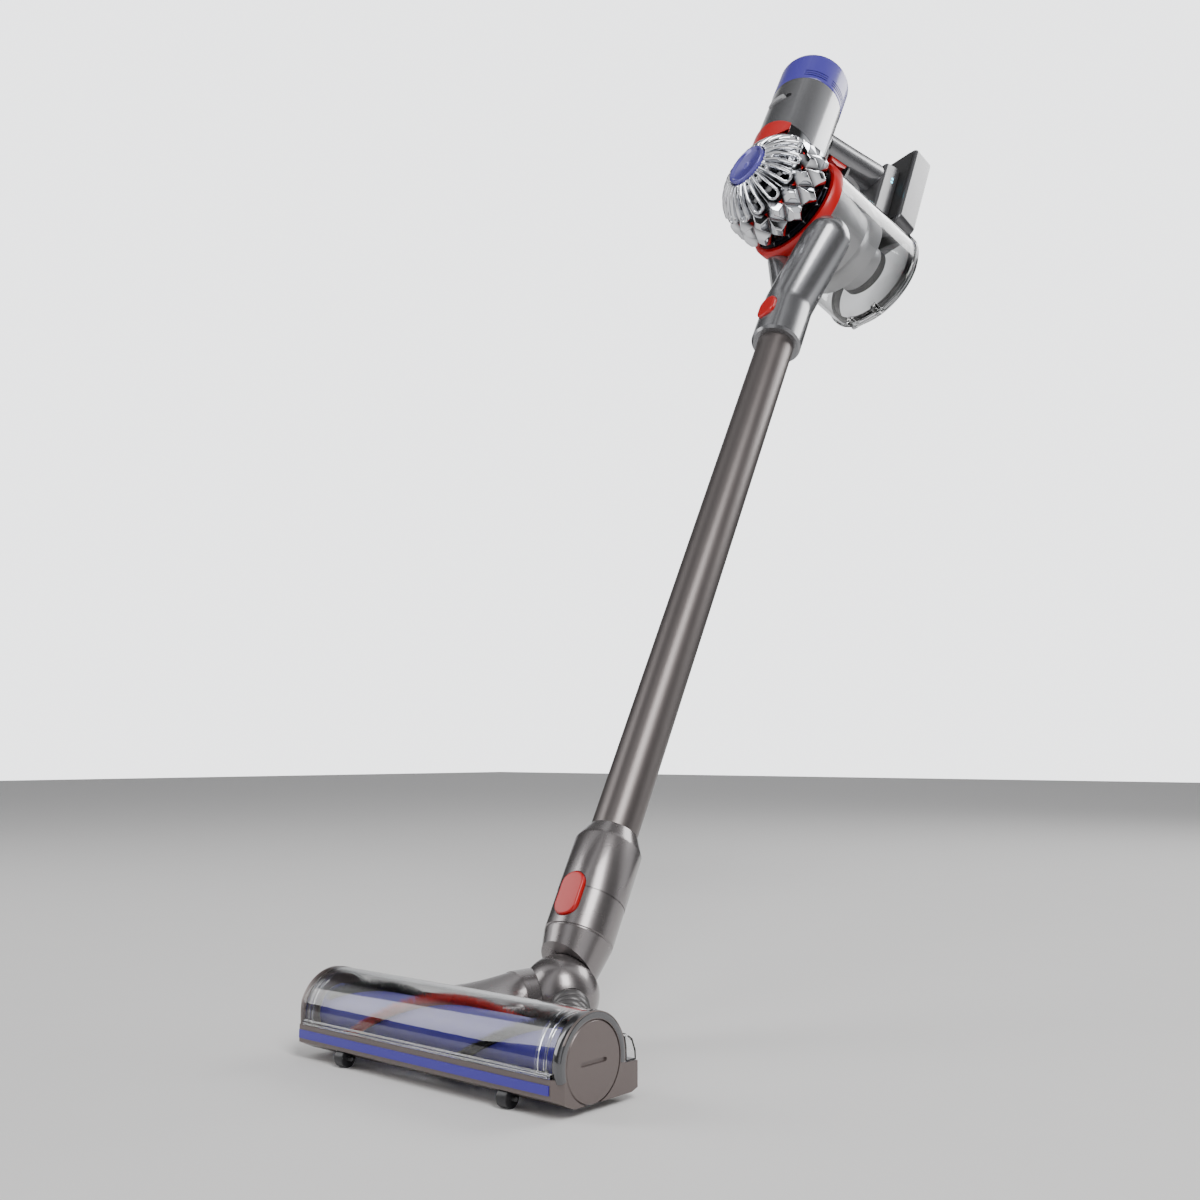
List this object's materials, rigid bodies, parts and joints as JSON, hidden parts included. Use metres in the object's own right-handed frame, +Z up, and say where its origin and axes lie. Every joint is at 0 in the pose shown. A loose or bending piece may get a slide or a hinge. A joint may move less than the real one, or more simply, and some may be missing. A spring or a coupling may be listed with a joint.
{
  "type": "cordless stick vacuum",
  "caption": "Cordless stick vacuum: clear-windowed floor head with a bristle roll, long wand, cyclone with clear bin, motor, trigger handle and battery.",
  "frame": {"origin": "the point on the floor under the brush roll axis", "axes": "+X along the floor head to the user's right as they face forward from behind it, +Y towards the back, +Z up"},
  "size_m": [0.2747, 0.8327, 0.9669],
  "materials": {
    "silver_plastic": "glossy",
    "nickel_plastic": "glossy",
    "tube_metal": "satin",
    "taupe_plastic": "satin",
    "violet_plastic": "satin",
    "red_plastic": "glossy",
    "chrome": "polished",
    "clear_plastic": "clear",
    "pale_plastic": "satin",
    "black_plastic": "satin",
    "graphite_plastic": "satin",
    "seal_rubber": "matte",
    "black_bristle": "matte",
    "red_bristle": "matte",
    "steel": "satin",
    "inner_parts": "satin",
    "filter_felt": "matte",
    "blue_light": "glossy"
  },
  "bodies": {
    "main_body": {"wand_tube": "tube_metal", "neck_socket": "nickel_plastic", "neck_cone": "nickel_plastic", "button_springs": "steel", "inlet_collar": "silver_plastic", "inlet_duct": "silver_plastic", "cyclone_cover": "chrome", "cyclone_cones": "pale_plastic", "cyclone_ring": "red_plastic", "dust_bin": "clear_plastic", "lid_hinge_pin": "steel", "lid_catch": "black_plastic", "shroud": "pale_plastic", "fine_dust_cup": "pale_plastic", "dust_cup_seal": "seal_rubber", "motor_housing": "silver_plastic", "motor_saddle": "chrome", "motor_can": "steel", "motor_mounts": "black_plastic", "control_board": "inner_parts", "handle_right": "silver_plastic", "handle_left": "silver_plastic", "body_spine": "black_plastic", "trigger_switch": "black_plastic", "battery_base": "graphite_plastic", "battery_gasket": "seal_rubber", "battery_pack": "graphite_plastic", "battery_cells": "inner_parts", "status_leds": "blue_light"},
    "elbow": {"elbow_ball": "nickel_plastic"},
    "head": {"head_base": "taupe_plastic", "window": "clear_plastic", "lip_strip": "violet_plastic", "rear_cover": "taupe_plastic", "rear_latch": "clear_plastic", "roll_motor": "steel", "wheel_axles": "steel", "neck_cradle": "nickel_plastic", "neck_hose": "seal_rubber"},
    "brush_roll": {"roll_core": "violet_plastic", "red_bristles": "red_bristle", "black_bristles": "black_bristle", "roll_bearing": "steel"},
    "end_cap_body": {"end_cap": "taupe_plastic"},
    "wheel_left": {"front_wheel_left": "black_plastic"},
    "wheel_right": {"front_wheel_right": "black_plastic"},
    "lower_button_body": {"lower_button": "red_plastic"},
    "upper_button_body": {"upper_button": "red_plastic"},
    "lid": {"bin_lid": "clear_plastic", "lid_seal": "seal_rubber"},
    "rod": {"push_rod": "red_plastic"},
    "lever": {"release_lever": "red_plastic"},
    "slider": {"power_slider": "pale_plastic"},
    "fan": {"impeller": "inner_parts"},
    "post_filter": {"filter_cap": "violet_plastic", "filter_media": "filter_felt"},
    "pre_filter": {"filter_disc": "violet_plastic", "filter_sleeve": "filter_felt"},
    "trigger_body": {"trigger": "red_plastic"}
  },
  "joints": [
    {"name": "neck_swivel", "type": "hinge", "parent": "main_body", "child": "elbow", "pos_m": [0.002, 0.106, 0.034], "axis": [0, 0.8271, 0.5621], "range_deg": [-60, 36]},
    {"name": "neck_pitch", "type": "hinge", "parent": "elbow", "child": "head", "pos_m": [0.002, 0.106, 0.034], "axis": [1, 0, 0], "range_deg": [-28, 40]},
    {"name": "roll_spin", "type": "hinge", "parent": "head", "child": "brush_roll", "pos_m": [0, 0, 0.027], "axis": [1, 0, 0], "continuous": true},
    {"name": "cap_turn", "type": "hinge", "parent": "head", "child": "end_cap_body", "pos_m": [0.12, 0, 0.027], "axis": [1, 0, 0], "range_deg": [0, 45]},
    {"name": "wheel_left_spin", "type": "hinge", "parent": "head", "child": "wheel_left", "pos_m": [-0.063, -0.0245, 0.0056], "axis": [1, 0, 0], "continuous": true},
    {"name": "wheel_right_spin", "type": "hinge", "parent": "head", "child": "wheel_right", "pos_m": [0.082, -0.0245, 0.0056], "axis": [1, 0, 0], "continuous": true},
    {"name": "lower_button_press", "type": "slide", "parent": "main_body", "child": "lower_button_body", "axis": [-0.0425, 0.826, -0.5621], "range_m": [0, 0.0022], "stiffness_N_per_m": 900, "springref_m": -0.0005},
    {"name": "upper_button_press", "type": "slide", "parent": "main_body", "child": "upper_button_body", "axis": [0.2249, 0.8192, -0.5275], "range_m": [0, 0.0022], "stiffness_N_per_m": 900, "springref_m": -0.0005},
    {"name": "trigger_pull", "type": "slide", "parent": "main_body", "child": "trigger_body", "axis": [-0.1741, 0.1875, 0.9667], "range_m": [0, 0.004], "stiffness_N_per_m": 600, "springref_m": -0.0005},
    {"name": "slider_shift", "type": "hinge", "parent": "main_body", "child": "slider", "pos_m": [-0.10287, 0.60251, 0.87696], "axis": [-0.0927, 0.5569, 0.8254], "range_deg": [0, 8]},
    {"name": "lever_pull", "type": "slide", "parent": "main_body", "child": "lever", "axis": [-0.2087, -0.8926, 0.3997], "range_m": [0, 0.008]},
    {"name": "rod_push", "type": "slide", "parent": "main_body", "child": "rod", "axis": [0.2087, 0.8926, -0.3997], "range_m": [0, 0.003]},
    {"name": "lid_open", "type": "hinge", "parent": "main_body", "child": "lid", "pos_m": [-0.05131, 0.64786, 0.65924], "axis": [-0.97, 0.1367, -0.2012], "range_deg": [0, 85]},
    {"name": "fan_spin", "type": "hinge", "parent": "main_body", "child": "fan", "pos_m": [-0.09851, 0.57633, 0.83817], "axis": [-0.0927, 0.5569, 0.8254], "continuous": true},
    {"name": "cap_twist", "type": "hinge", "parent": "main_body", "child": "post_filter", "pos_m": [-0.10825, 0.63481, 0.92484], "axis": [-0.0927, 0.5569, 0.8254], "range_deg": [0, 25]},
    {"name": "filter_lift", "type": "slide", "parent": "main_body", "child": "pre_filter", "axis": [-0.2087, -0.8926, 0.3997], "range_m": [0, 0.115]}
  ],
  "couplings": [
    {"joint": "rod_push", "follows": "lever_pull", "ratio": 0.375}
  ]
}
